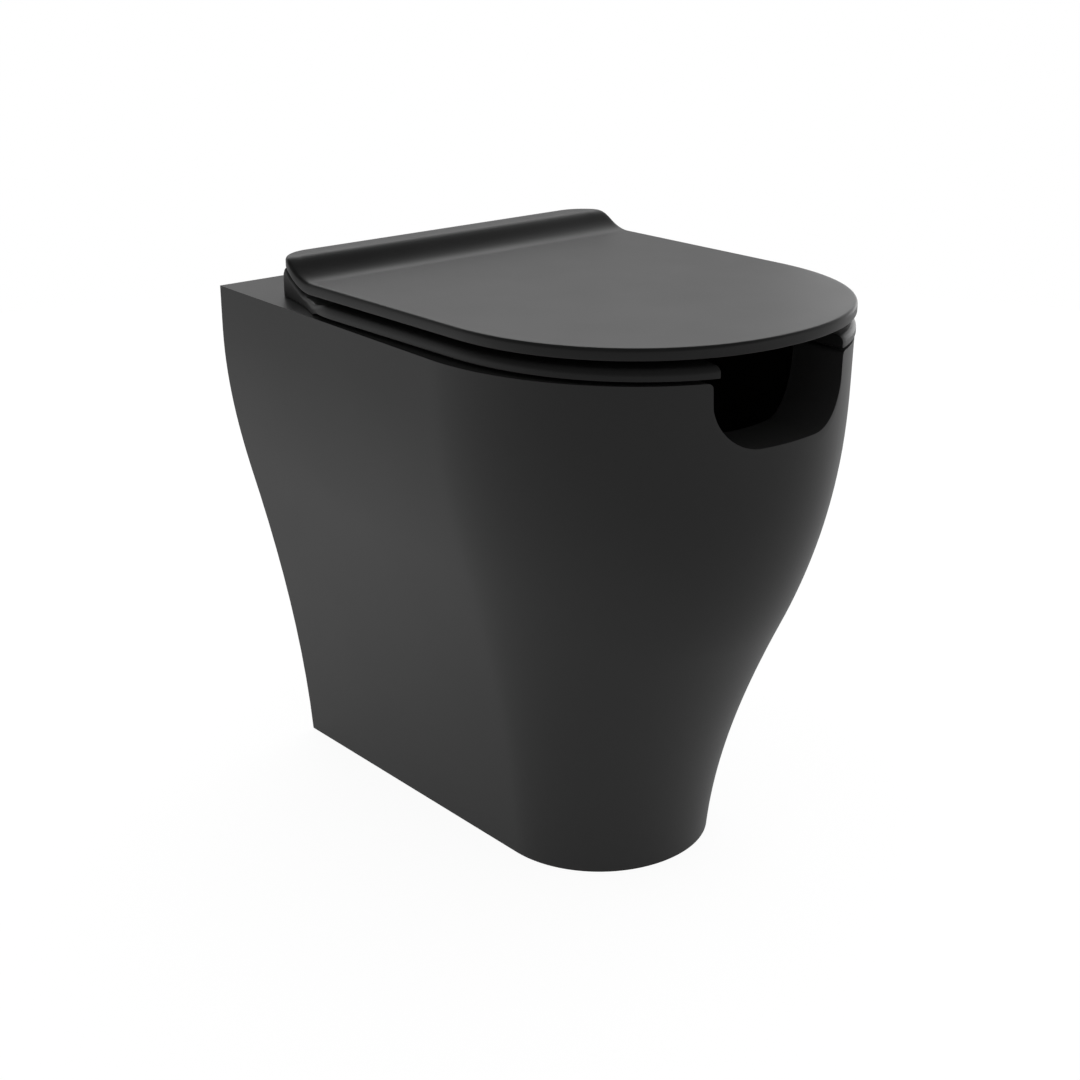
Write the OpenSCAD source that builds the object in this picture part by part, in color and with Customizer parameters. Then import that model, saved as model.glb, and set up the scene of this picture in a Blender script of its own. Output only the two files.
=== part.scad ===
// Back to wall toilet: a skirted ceramic pan with a notch through its front wall,
// an open front seat and a lid with a raised rear wave, on two soft closing hinges.
// The origin is on the floor under the middle of the pan's depth.
// +Z is up, -Y is the front and the wall stands at y = depth / 2.

/* [Pan] */
// Height of the ceramic rim above the floor
rim_h = 462.5; // [440:0.5:480]
// Depth of the pan, from the wall to its front
depth = 528; // [510:1:545]
// Half width of the foot
foot_half_w = 98.5; // [90:0.5:108]
// Distance from the wall to the front of the foot
foot_front = 415.5; // [400:0.5:430]
// Half width of the pan where it leans out most
lean_half_w = 150.5; // [142:0.5:156]
// Height at which the sides lean out most
lean_h = 280; // [260:1:300]
// Distance from the wall to the front where it leans out most
belly_front = 488.5; // [475:0.5:500]
// Height at which the front leans out most
belly_h = 225; // [205:1:245]
// Half width of the rim at the wall
rear_half_w = 173.5; // [168:0.5:176]
// Extra half width of the rim where its straight sides end
side_flare = 13.4; // [8:0.2:16]
// Length of the straight sides at the foot
foot_straight = 320; // [305:1:330]
// Length of the straight sides at the rim
rim_straight = 333.5; // [320:0.5:340]
// Thickness of the ceramic walls
wall_t = 12; // [10:0.5:14]
// Height of the seam between the pan's skirt and its upper walls
skirt_h = 300; // [240:5:330]
// Thickness of the deck behind the bowl
deck_t = 16; // [13:0.5:20]
// Depth of the solid rim round the bowl
rim_t = 68; // [64:1:75]
// Rounding of the rim's outer edge
rim_edge_r = 2.5; // [1.5:0.5:4]

/* [Bowl] */
// Half width of the bowl's mouth
bowl_half_w = 134; // [128:1:137]
// Width of the rim at the front
rim_front_w = 41; // [38:1:48]
// Distance from the wall to the bowl's mouth
bowl_setback = 190; // [184:1:200]
// Height of the bowl's lowest ring above the floor
bowl_floor_h = 168; // [162:1:175]

/* [Front notch] */
// Half width of the notch in the front wall
notch_half_w = 71; // [60:1:76]
// Depth of the notch below the rim
notch_depth = 55; // [45:1:58]
// Radius of the notch's lower corners
notch_r = 42; // [25:1:44]

/* [Trap and outlet] */
// Inner radius of the trap's passage
trap_bore_r = 31; // [27:0.5:32]
// Thickness of the trap's walls
trap_t = 9; // [7:0.5:10]
// Radius of the trap's bends, to the middle of the passage
trap_bend_r = 45; // [44:0.5:48]
// Width of the ledge where the bowl meets the trap
sump_ledge = 3; // [2:0.5:5]
// Height of the lower bend's centre
dip_h = 150; // [140:1:156]
// Height of the upper bend's centre
weir_h = 185; // [180:1:195]
// Radius of the bend down to the outlet
fall_bend_r = 60; // [55:1:66]
// Height of the outlet's centre
outlet_h = 180; // [175:1:185]
// Outer radius of the outlet spigot
outlet_r = 51; // [48:0.5:55]
// Inner radius of the outlet spigot
outlet_bore_r = 42; // [38:0.5:44]
// Length of the outlet spigot
outlet_l = 46; // [40:1:52]
// Distance from the wall to the outlet's end
outlet_setback = 20; // [12:1:26]

/* [Flush inlet] */
// Depth of the inlet's centre below the rim
inlet_drop = 77.5; // [72:0.5:84]
// Radius of the inlet's socket
inlet_bore_r = 27.5; // [25:0.5:30]
// Depth of the inlet's socket
inlet_l = 45; // [35:1:55]
// Radius of the flush passage into the bowl
flush_bore_r = 18; // [14:0.5:22]
// Distance from the wall to the inlet's mouth
inlet_setback = 26; // [15:1:35]

/* [Seat] */
// Half width of the seat
seat_half_w = 179.5; // [174:0.5:180]
// Distance from the wall to the front of the seat's outline
seat_front = 527.5; // [518:0.5:528]
// Distance from the wall to the end of the seat's straight sides
seat_straight = 339; // [330:0.5:345]
// Half width of the seat's rear part at its back
block_half_w = 153.5; // [150:0.5:160]
// Half width of the gap in the seat's front
seat_gap_half_w = 66.7; // [55:0.1:72]
// Half width of the seat's hole
seat_hole_half_w = 116; // [108:1:122]
// Distance from the wall to the rear of the seat's hole
seat_hole_rear = 202; // [196:1:210]
// Distance from the wall to the front of the seat's hole
seat_hole_front = 466; // [456:1:472]
// Height of the seat's underside above the rim
seat_lift = 3.5; // [3:0.1:5]
// Height of the seat's outer edge
seat_edge_h = 10; // [8:0.5:11]
// Extra height of the seat in the middle of its width
seat_crown = 2.5; // [1:0.1:3]
// Height of the seat's raised rear part above the rim
seat_rear_top = 29.5; // [27:0.5:31]
// Distance from the wall to the foot of the seat's rise
seat_rise_setback = 113; // [110:0.5:121]
// Length of the seat's rise
seat_rise_l = 31; // [28:0.5:36]
// How far the seat's rear part reaches behind the hinge's axis
seat_tail = 1; // [0:0.1:3]
// Rounding of the rear part's upper rear edge
seat_rear_r = 19; // [6:0.5:20]
// Height of the underside of the seat's rear part above the rim
seat_rear_lift = 0.4; // [0.3:0.1:1]
// Rounding of the seat's upper edges
seat_edge_r = 5; // [3:0.5:6]
// Rounding of the rear part's corners
block_corner_r = 6; // [4:0.5:12]

/* [Lid] */
// How far the lid reaches past the seat at each side
lid_overhang = 0.5; // [0:0.1:2]
// Distance from the wall to the front of the lid
lid_front = 525; // [518:0.5:532]
// Distance from the wall to the end of the lid's straight sides
lid_straight = 347; // [335:0.5:352]
// Distance from the wall to the lid's rear edge
lid_setback = 95; // [94:0.5:98]
// Height of the lid's underside above the rim
lid_lift = 18.7; // [18.5:0.1:21]
// Thickness of the lid at its edge
lid_t = 9.5; // [9:0.1:11]
// Height of the raised rear wave
wave_h = 15.3; // [14.5:0.1:16]
// Distance from the wall to the foot of the wave
wave_setback = 153; // [150:0.5:158]
// Length of the wave's slope
wave_l = 40; // [36:0.5:46]
// Radius of the lid's rear corners
corner_r = 36; // [24:1:40]
// Rounding of the lid's upper edge
lid_edge_r = 2.5; // [1.5:0.5:4]
// Depth of the recess in the lid's underside
lid_recess = 3.5; // [2:0.1:4.5]
// Width of the lid's border round that recess
lid_border = 18; // [12:1:24]

/* [Hinges] */
// Spacing of the two hinge posts
hinge_spacing = 155; // [150:1:160]
// Distance from the wall to the hinge axis
axis_setback = 72; // [66:0.5:78]
// Height of the hinge axis above the rim
axis_h = 13; // [12.6:0.1:14]
// Radius of the hinge pins
pin_r = 4; // [3:0.1:4.5]
// Radius of the dampers and bushes round the pins
cartridge_r = 7.5; // [6.5:0.1:7.8]
// Length of the dampers and bushes
cartridge_l = 27; // [22:0.5:30]
// Radius of the knuckles on posts and lid
knuckle_r = 11; // [10:0.1:11.3]
// Width of the hinge posts
post_w = 26; // [23:0.5:27]
// Radius of the posts' feet
post_r = 12; // [11:0.1:12.5]
// Thickness of the gaskets under the posts
gasket_t = 1.5; // [1:0.1:2]
// Gap between neighbouring knuckles along the axis
knuckle_gap = 2.5; // [1.5:0.1:3]

/* [Fixings] */
// Radius of the seat's fixing holes in the deck
deck_hole_r = 7; // [6.5:0.1:8]
// Radius of the fixing studs
stud_r = 4; // [3:0.1:4.5]
// Reach of the studs into the posts
stud_reach = 6; // [4:0.5:6.5]
// Length of the expanding sleeves
sleeve_l = 30; // [26:1:34]
// Radius of the sleeves' bulged lower end
sleeve_bulge_r = 9.5; // [8.5:0.1:11]
// Radius of the washers
washer_r = 11; // [10:0.5:13]
// Thickness of the washers
washer_t = 2; // [1.5:0.1:3]
// Width across flats of the nuts
nut_af = 13; // [12:0.5:15]
// Height of the nuts
nut_t = 7; // [5:0.5:9]
// Length of the studs that shows below the nuts
stud_tail = 4; // [2:0.5:8]

/* [Buffers] */
// Radius of the rubber buffers
buffer_r = 7; // [5:0.5:8]
// Distance of the side buffers from the wall
side_buffer_setback = 290; // [270:1:310]
// Distance of the front buffers from the wall
front_buffer_setback = 448; // [440:1:456]
// Half spacing of the front buffers
front_buffer_half_w = 112; // [106:1:116]

/* [Clearances] */
// Gap between a buffer and what it rests on
rest_gap = 0.3; // [0.1:0.1:0.4]
// Radial clearance of a bush or damper on its pin
running_fit = 0.05; // [0.02:0.01:0.1]
// Radial clearance of a seated round piece
seated_fit = 0.05; // [0.02:0.01:0.1]
// Radial clearance of a stud or sleeve in its hole
loose_fit = 0.2; // [0.1:0.05:0.4]

/* [Hidden] */
$fn = 48;

wall_y = depth / 2;
axis_y = wall_y - axis_setback;
axis_z = rim_h + axis_h;
past = 1;

// Slopes of the pan's outline, as sideways travel for each millimetre of height.
foot_slope = 0.075;
lean_slope = 0.275;
shoulder_slope = 0.01;
foot_front_slope = 0.085;
belly_slope = 0.49;
brow_slope = 0.02;
shoulder_drop = 42;
brow_drop = 72;
front_fullness = 2.02;
seat_fullness = 2.14;

side_knots = [
    [0, foot_half_w, foot_slope],
    [lean_h, lean_half_w, lean_slope],
    [rim_h - shoulder_drop, rear_half_w, shoulder_slope],
    [rim_h, rear_half_w, 0]
];
front_knots = [
    [0, foot_front, foot_front_slope],
    [belly_h, belly_front, belly_slope],
    [rim_h - brow_drop, depth - 0.2, brow_slope],
    [rim_h, depth - 0.5, 0]
];

// Smooth curve through knots of the form [place, value, slope].
function span(p, q, t) =
    let (h = q[0] - p[0], u = (t - p[0]) / h)
    (2 * u ^ 3 - 3 * u ^ 2 + 1) * p[1] + (u ^ 3 - 2 * u ^ 2 + u) * h * p[2]
    + (3 * u ^ 2 - 2 * u ^ 3) * q[1] + (u ^ 3 - u ^ 2) * h * q[2];
function along(knots, t, i = 0) =
    i >= len(knots) - 2 || t <= knots[i + 1][0] ? span(knots[i], knots[i + 1], t) : along(knots, t, i + 1);
function ease(t) = let (u = min(1, max(0, t))) u * u * (3 - 2 * u);
function mirrored(half) = concat(half, [for (i = [len(half) - 1:-1:0]) if (half[i][0] > 0.001) [-half[i][0], half[i][1]]]);
function at_height(outline, z) = [for (p = outline) [p[0], p[1], z]];

// Quarter of a full ellipse, from its front tip to its widest point.
function front_arc(half_w, tip_y, side_y, fullness, steps, from = 0) =
    [for (i = [0:steps]) let (a = from + (90 - from) * i / steps)
        [half_w * sin(a) ^ (2 / fullness), side_y - (side_y - tip_y) * cos(a) ^ (2 / fullness)]];

// A closed solid through rings of points that all hold the same number of points, lowest ring first.
module loft(rings) {
    n = len(rings[0]);
    m = len(rings);
    points = [for (r = rings) each r];
    sides = [for (k = [0:m - 2], i = [0:n - 1])
        let (a = k * n + i, b = k * n + (i + 1) % n)
        each [[a, b + n, b], [a, a + n, b + n]]];
    bottom = [for (i = [0:n - 1]) i];
    top = [for (i = [n - 1:-1:0]) (m - 1) * n + i];
    polyhedron(points = points, faces = concat(sides, [bottom], [top]), convexity = 10);
}

// The side plane: drawn with x towards the wall and y up, and extruded along the part's X.
module side_plane() {
    rotate([90, 0, 90]) children();
}

module along_x(y, z, x, l, r) {
    translate([x, y, z]) rotate([30, 0, 0]) rotate([0, 90, 0]) cylinder(r = r, h = l);
}

module along_y(x, z, y, l, r) {
    translate([x, y + l, z]) rotate([90, 0, 0]) cylinder(r = r, h = l);
}

// Pan

arc_steps = 14;
side_steps = 4;
function straight_y(z) = wall_y - foot_straight - (rim_straight - foot_straight) * z / rim_h;
function pan_outline(z, inset = 0, rear_y = wall_y) =
    let (rear_w = along(side_knots, z) - inset,
         mid_w = rear_w + side_flare * (z / rim_h) ^ 2,
         tip_y = wall_y - along(front_knots, z) + inset,
         y0 = straight_y(z))
    mirrored(concat(
        front_arc(mid_w, tip_y, y0, front_fullness, arc_steps),
        [for (i = [1:side_steps]) let (t = i / side_steps)
            [mid_w + (rear_w - mid_w) * t, y0 + (rear_y - y0) * t]]
    ));

shell_steps = 16;
module pan_outer() {
    top_z = rim_h - rim_edge_r;
    loft(concat(
        [for (i = [0:shell_steps]) let (z = top_z * i / shell_steps) at_height(pan_outline(z), z)],
        [for (a = [45, 90]) at_height(pan_outline(rim_h, rim_edge_r * (1 - cos(a))), top_z + rim_edge_r * sin(a))]
    ));
}

// The space between the skirt and the bowl, open to the floor and to the wall.
void_steps = 7;
deck_void_y = wall_y - bowl_setback + 2.5 * wall_t;
module skirt_void() {
    top_z = rim_h - rim_t;
    loft([for (i = [0:void_steps]) let (z = i == 0 ? -past : top_z * i / void_steps)
        at_height(pan_outline(max(z, 0), wall_t, wall_y + past), z)]);
    deck_void_w = rear_half_w - wall_t - 6;
    translate([-deck_void_w, deck_void_y, top_z - past])
        cube([2 * deck_void_w, wall_y - deck_void_y + past, rim_t - deck_t + past]);
}

// The bowl narrows from its mouth to the trap's opening as a quarter of a sine wave.
spigot_y = wall_y - outlet_setback - outlet_l;
fall_y = spigot_y - fall_bend_r * sin(45);
fall_z = outlet_h + fall_bend_r * (1 - cos(45));
fall_l = (weir_h + trap_bend_r * sin(45) - fall_z) / sin(45);
weir_y = fall_y - (fall_l + trap_bend_r) * cos(45);
dip_y = weir_y - 2 * trap_bend_r;
mouth_y = dip_y - trap_bend_r;
bowl_front_y = wall_y - depth + rim_front_w;
bowl_rear_y = wall_y - bowl_setback;
sump_r = trap_bore_r + sump_ledge;

function bowl_ring(u, grow, z) =
    let (g = sin(90 * u),
         half_w = sump_r + (bowl_half_w - sump_r) * g + grow,
         front_y = mouth_y - sump_r + (bowl_front_y - mouth_y + sump_r) * g - grow,
         rear_y = mouth_y + sump_r + (bowl_rear_y - mouth_y - sump_r) * g + grow,
         mid_y = mouth_y + (-60 - mouth_y) * g)
    [for (a = [0:12:348]) [half_w * sin(a), cos(a) > 0 ? mid_y - (mid_y - front_y) * cos(a)
        : mid_y - (rear_y - mid_y) * cos(a), z]];

bowl_steps = 10;
module bowl_inner() {
    bowl_h = rim_h - bowl_floor_h;
    loft(concat(
        [for (i = [0:bowl_steps]) let (u = i / bowl_steps) bowl_ring(u, 0, bowl_floor_h + bowl_h * u)],
        [bowl_ring(1, 0, rim_h + past)]
    ));
}

module bowl_outer() {
    top_u = (rim_h - rim_t - bowl_floor_h) / (rim_h - bowl_floor_h);
    loft([for (i = [0:bowl_steps - 3]) let (u = top_u * i / (bowl_steps - 3))
        bowl_ring(u, wall_t, bowl_floor_h + (rim_h - bowl_floor_h) * u - (i == 0 ? wall_t / 2 : 0))]);
}

// The bends are slightly wider than the straight runs, which reach a little way into them.
bend_step = 0.4;
module trap_bend(y, z, bend_r, r, from, turn) {
    side_plane() translate([y, z, 0]) rotate([0, 0, from])
        rotate_extrude(angle = turn, $fn = 32) translate([bend_r, 0]) circle(r = r + bend_step, $fn = 24);
}

module trap_run(y, z, direction, l, r) {
    side_plane() translate([y, z, 0]) rotate([0, 0, direction]) rotate([0, 90, 0]) translate([0, 0, -past])
        cylinder(r = r, h = l + 2 * past, $fn = 24);
}

// The trap's passage: down from the bowl, round the lower bend, up over the weir and out.
module trap(r) {
    trap_run(mouth_y, bowl_floor_h, -90, bowl_floor_h - dip_h, r);
    trap_bend(dip_y, dip_h, trap_bend_r, r, 180, 180);
    trap_run(weir_y - trap_bend_r, dip_h, 90, weir_h - dip_h, r);
    trap_bend(weir_y, weir_h, trap_bend_r, r, 45, 135);
    trap_run(weir_y + trap_bend_r * cos(45), weir_h + trap_bend_r * sin(45), -45, fall_l, r);
    trap_bend(spigot_y, outlet_h + fall_bend_r, fall_bend_r, r, 225, 45);
    trap_run(spigot_y, outlet_h, 0, trap_t / 2, r);
}

inlet_z = rim_h - inlet_drop;
inlet_y = wall_y - inlet_setback;
horn_r = inlet_bore_r + wall_t - 1.5;

// The flush water's passage, from the inlet's socket into the back of the bowl.
module flush_way() {
    along_y(0, inlet_z, inlet_y - inlet_l, inlet_l + past, inlet_bore_r);
    along_y(0, inlet_z, bowl_rear_y - 2 * wall_t, inlet_y - inlet_l - bowl_rear_y + 2 * wall_t + past, flush_bore_r);
}

module front_notch() {
    bottom_z = rim_h - notch_depth;
    corner_x = notch_half_w - notch_r;
    translate([0, bowl_front_y + rim_front_w, 0]) rotate([90, 0, 0]) linear_extrude(2.5 * rim_front_w) {
        translate([-notch_half_w, bottom_z + notch_r]) square([2 * notch_half_w, notch_depth - notch_r + past]);
        translate([-corner_x, bottom_z]) square([2 * corner_x, notch_r + past]);
        for (side = [-1, 1]) translate([side * corner_x, bottom_z + notch_r]) circle(r = notch_r);
    }
}

// Everything between two heights.
module layer(from_z, to_z) {
    translate([-depth, -depth, from_z]) cube([2 * depth, 2 * depth, to_z - from_z]);
}

module skirt() {
    color([0.16, 0.17, 0.17]) difference() {
        pan_outer();
        skirt_void();
        layer(skirt_h, rim_h + past);
    }
}

// The upper walls, the rim and the deck, with a collar round the flush passage behind the bowl.
module pan() {
    color([0.16, 0.17, 0.17]) difference() {
        pan_outer();
        layer(-past, skirt_h);
        difference() {
            skirt_void();
            along_y(0, inlet_z, bowl_rear_y, deck_void_y - bowl_rear_y, horn_r);
        }
        bowl_outer();
        bowl_inner();
        flush_way();
        front_notch();
        for (side = [-1, 1]) translate([side * hinge_spacing / 2, axis_y, rim_h - deck_t - past])
            cylinder(r = deck_hole_r, h = deck_t + 2 * past);
    }
}

// The wall of the bowl under the rim, with the trap's mouth in its floor.
module bowl() {
    color([0.16, 0.17, 0.17]) difference() {
        bowl_outer();
        bowl_inner();
        trap(trap_bore_r);
        flush_way();
    }
}

module trapway() {
    color([0.16, 0.17, 0.17]) difference() {
        union() {
            trap(trap_bore_r + trap_t);
            along_y(0, outlet_h, spigot_y - 2 * past, outlet_l + 2 * past, outlet_r);
        }
        trap(trap_bore_r);
        along_y(0, outlet_h, spigot_y + trap_t / 2, outlet_l, outlet_bore_r);
        bowl_outer();
    }
}

module flush_inlet() {
    color([0.16, 0.17, 0.17]) difference() {
        along_y(0, inlet_z, deck_void_y, inlet_y - deck_void_y, horn_r);
        flush_way();
    }
}

// A plate through rings of mirrored points, lowest ring first. Both of its faces are closed by strips
// that run from side to side, so a face whose height changes only from front to back stays true.
module plate(rings) {
    n = len(rings[0]);
    m = len(rings);
    points = [for (r = rings) each r];
    sides = [for (k = [0:m - 2], i = [0:n - 1]) let (a = k * n + i, b = k * n + (i + 1) % n)
        each [[a, b + n, b], [a, a + n, b + n]]];
    function strip(base, i) = [base + i, base + i + 1, base + n - i - 1, base + (n - i) % n];
    function turned(face) = [for (i = [len(face) - 1:-1:0]) face[i]];
    strips = (n - 1) / 2;
    top_base = (m - 1) * n;
    bottom = concat([[0, 1, n - 1]], [for (i = [1:strips - 1]) strip(0, i)]);
    top = concat([[top_base, top_base + n - 1, top_base + 1]],
        [for (i = [1:strips - 1]) turned(strip(top_base, i))]);
    polyhedron(points = points, faces = concat(sides, bottom, top), convexity = 10);
}

// Seat

seat_front_y = wall_y - seat_front;
seat_top = seat_lift + seat_edge_h;
waist_y = wall_y - wave_setback;
waist_l = 14;
waist_steps = 20;

seat_rear_y = axis_y + seat_tail;
rear_round_y = seat_rear_y - seat_rear_r;
function seat_rise(y) = ease((y - wall_y + seat_rise_setback) / seat_rise_l);
function rear_drop(y) = seat_rear_r - sqrt(max(0, seat_rear_r ^ 2 - max(0, y - rear_round_y) ^ 2));
function seat_upper(y) = rim_h + seat_top + (seat_rear_top - seat_top) * seat_rise(y) - rear_drop(y);
function seat_lower(y) = rim_h + seat_lift + (seat_rear_lift - seat_lift) * ease((y - waist_y) / waist_l + 0.5);

// Behind the waist the seat draws in to the narrower rear part, which comes down to the deck.
waist_knots = [
    [waist_y - waist_l / 2, seat_half_w, 0],
    [waist_y + waist_l / 2, seat_half_w - 4.9, -0.52],
    [waist_y + 23, block_half_w + 12.9, -0.42],
    [waist_y + 39, block_half_w + 7.7, -0.27],
    [waist_y + 54, block_half_w + 4.2, -0.19],
    [seat_rear_y, block_half_w, -0.14]
];
function seat_half(inset) =
    let (r = max(block_corner_r - inset, 1),
         y0 = wall_y - seat_straight,
         y1 = waist_y - waist_l / 2,
         y2 = seat_rear_y - inset - r)
    concat(
        front_arc(seat_half_w - inset, seat_front_y + inset, y0, seat_fullness, arc_steps),
        [[seat_half_w - inset, (y0 + y1) / 2]],
        [for (i = [0:waist_steps]) let (y = y1 + (y2 - y1) * i / waist_steps) [along(waist_knots, y) - inset, y]],
        [for (a = [30, 60, 90]) [along(waist_knots, y2) - inset - r * (1 - cos(a)), y2 + r * sin(a)]]
    );
function seat_level(inset, from_lower, rise, crown = 0) = [for (p = mirrored(seat_half(inset)))
    [p[0], p[1], rise + (from_lower ? seat_lower(p[1]) : seat_upper(p[1]) + crown * (1 - seat_rise(p[1])))]];

hole_mid_y = wall_y - (seat_hole_front + seat_hole_rear) / 2;
hole_half_l = (seat_hole_front - seat_hole_rear) / 2;
hole_steps = 48;
function hole_level(grow, z) = [for (i = [0:hole_steps - 1]) let (a = 360 * i / hole_steps)
    [(seat_hole_half_w + grow) * sin(a), hole_mid_y - (hole_half_l + grow) * cos(a), rim_h + z]];

module seat_plate() {
    r = seat_edge_r;
    under_r = 1;
    mid = (seat_half_w - seat_hole_half_w) / 2;
    plate([
        seat_level(under_r, true, 0),
        seat_level(0, true, under_r),
        seat_level(0, false, -r),
        seat_level(0.3 * r, false, -0.3 * r),
        seat_level(r, false, 0),
        seat_level(0.5 * mid, false, 0, 0.7 * seat_crown),
        seat_level(mid, false, 0, seat_crown)
    ]);
}

// The hole widens upwards in a soft curve.
module seat_hole() {
    r = seat_edge_r;
    crest = seat_top + seat_crown;
    loft([
        hole_level(0, -past),
        hole_level(0, seat_top - r),
        hole_level(0.3 * r, seat_top - 0.3 * r),
        hole_level(r, seat_top + 0.3 * seat_crown),
        hole_level(4 * r, crest + 0.5 * seat_crown)
    ]);
}

post_x = hinge_spacing / 2;
seat_knuckle_x = post_x + post_w / 2 + knuckle_gap;
lid_knuckle_x = post_x - post_w / 2 - knuckle_gap;
lid_knuckle_w = cartridge_l + 6;
hinge_bay_l = 50;
hinge_bay_y = axis_y - hinge_bay_l;
socket_r = cartridge_r + seated_fit;

seat_knuckle_w = cartridge_l + 10;
module seat() {
    bay_h = seat_rear_top + seat_crown + 2 * past;
    color([0.15, 0.16, 0.16]) difference() {
        union() {
            seat_plate();
            along_x(axis_y, axis_z, seat_knuckle_x - past, seat_knuckle_w, knuckle_r);
            along_x(axis_y, axis_z, past - seat_knuckle_x - seat_knuckle_w, seat_knuckle_w, knuckle_r);
        }
        seat_hole();
        translate([-seat_gap_half_w, seat_front_y - past, rim_h])
            cube([2 * seat_gap_half_w, hole_mid_y - seat_front_y - hole_half_l / 2, bay_h]);
        translate([-seat_knuckle_x, hinge_bay_y, rim_h])
            cube([2 * seat_knuckle_x, axis_y - hinge_bay_y + knuckle_r + past, bay_h]);
        along_x(axis_y, axis_z, seat_knuckle_x - past, cartridge_l + past, socket_r);
        along_x(axis_y, axis_z, -seat_knuckle_x - cartridge_l, cartridge_l + past, socket_r);
    }
}

// Lid

lid_front_y = wall_y - lid_front;
lid_rear_y = wall_y - lid_setback;
lid_half_w = seat_half_w + lid_overhang;
wave_steps = 7;
function wave(y) = ease((y - wall_y + wave_setback) / wave_l);
corner_steps = 5;
function lid_lower(y) = rim_h + lid_lift + wave_h * wave(y);
function lid_half(inset) =
    let (w = lid_half_w - inset,
         r = corner_r - inset,
         y0 = wall_y - lid_straight,
         y1 = wall_y - wave_setback,
         y2 = lid_rear_y - corner_r)
    concat(
        front_arc(w, lid_front_y + inset, y0, front_fullness, arc_steps),
        [[w, (y0 + y1) / 2]],
        [for (i = [0:wave_steps - 1]) [w, y1 + (y2 - y1) * i / wave_steps]],
        [for (i = [0:corner_steps]) let (a = 90 * i / corner_steps) [w - r * (1 - cos(a)), y2 + r * sin(a)]]
    );
function lid_level(inset, from_lower, rise) = [for (p = mirrored(lid_half(inset)))
    [p[0], p[1], lid_lower(p[1]) + rise + (from_lower ? 0 : lid_t)]];

module lid_plate() {
    under_r = 1;
    plate([
        lid_level(lid_border + lid_recess, true, lid_recess),
        lid_level(lid_border, true, 0),
        lid_level(under_r, true, 0),
        lid_level(0, true, under_r),
        lid_level(0, false, -lid_edge_r),
        lid_level(0.3 * lid_edge_r, false, -0.3 * lid_edge_r),
        lid_level(lid_edge_r, false, 0)
    ]);
}

// An arm under the wave carries the lid's knuckle behind its rear edge.
arm_front_y = hinge_bay_y + 7;
arm_rear_y = lid_rear_y - 5;
arm_upper_angle = 65;
arm_lower_angle = 229;
module lid_knuckle() {
    function in_lid(y) = [y, lid_lower(y) + lid_t / 2];
    function on_knuckle(a) = [axis_y + (knuckle_r - 0.5) * cos(a), axis_z + (knuckle_r - 0.5) * sin(a)];
    side_plane() translate([0, 0, lid_knuckle_x - lid_knuckle_w]) linear_extrude(lid_knuckle_w) {
        translate([axis_y, axis_z]) circle(r = knuckle_r);
        polygon([in_lid(arm_front_y), on_knuckle(arm_lower_angle), on_knuckle(arm_upper_angle), in_lid(arm_rear_y)]);
    }
}

module lid() {
    color([0.2, 0.2, 0.2]) difference() {
        union() {
            lid_plate();
            lid_knuckle();
            mirror([1, 0, 0]) lid_knuckle();
        }
        for (side = [-1, 1]) along_x(axis_y, axis_z, side > 0 ? lid_knuckle_x - cartridge_l : -lid_knuckle_x - past,
            cartridge_l + past, socket_r);
    }
}

// Hinges, drawn for the right side

module right_or_left(side) {
    mirror([side < 0 ? 1 : 0, 0, 0]) children();
}

module post(side) {
    color([0.12, 0.12, 0.12]) right_or_left(side) difference() {
        union() {
            translate([post_x, axis_y, rim_h + gasket_t]) cylinder(r = post_r, h = axis_h - gasket_t);
            along_x(axis_y, axis_z, post_x - post_w / 2, post_w, knuckle_r);
        }
        along_x(axis_y, axis_z, post_x - post_w / 2 - past, post_w + 2 * past, pin_r + seated_fit);
        translate([post_x, axis_y, rim_h]) cylinder(r = stud_r + seated_fit, h = gasket_t + stud_reach);
    }
}

module pin(side) {
    reach = knuckle_gap + cartridge_l - 0.5;
    color([0.7, 0.7, 0.72]) right_or_left(side)
        along_x(axis_y, axis_z, post_x - post_w / 2 - reach, post_w + 2 * reach, pin_r);
}

// A bush or a damper body turns with the seat or the lid and runs on the pin.
module cartridge(side, x) {
    right_or_left(side) difference() {
        along_x(axis_y, axis_z, x, cartridge_l - 0.5, cartridge_r);
        along_x(axis_y, axis_z, x - past, cartridge_l + 2 * past, pin_r + running_fit);
    }
}

module seat_damper() {
    color([0.85, 0.85, 0.83]) cartridge(-1, seat_knuckle_x);
}

module seat_bush() {
    color([0.3, 0.3, 0.3]) cartridge(1, seat_knuckle_x);
}

module lid_damper() {
    color([0.85, 0.85, 0.83]) cartridge(1, lid_knuckle_x - cartridge_l + 0.5);
}

module lid_bush() {
    color([0.3, 0.3, 0.3]) cartridge(-1, lid_knuckle_x - cartridge_l + 0.5);
}

// Fixings under the hinge posts

module at_post(side, z) {
    translate([side * post_x, axis_y, z]) children();
}

module post_gasket(side) {
    color([0.1, 0.1, 0.1]) at_post(side, rim_h) difference() {
        cylinder(r = post_r + 1, h = gasket_t);
        translate([0, 0, -past]) cylinder(r = stud_r + loose_fit, h = gasket_t + 2 * past);
    }
}

module stud(side) {
    l = sleeve_l + washer_t + nut_t + stud_tail + gasket_t + stud_reach - 0.5;
    color([0.7, 0.7, 0.72]) at_post(side, rim_h - sleeve_l - washer_t - nut_t - stud_tail) cylinder(r = stud_r, h = l);
}

module sleeve(side) {
    bulge_l = sleeve_l - deck_t - 0.5;
    color([0.1, 0.1, 0.1]) at_post(side, rim_h - sleeve_l) difference() {
        union() {
            cylinder(r = deck_hole_r - loose_fit, h = sleeve_l);
            cylinder(r1 = deck_hole_r - loose_fit, r2 = sleeve_bulge_r, h = bulge_l);
        }
        translate([0, 0, -past]) cylinder(r = stud_r + loose_fit, h = sleeve_l + 2 * past);
    }
}

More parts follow.
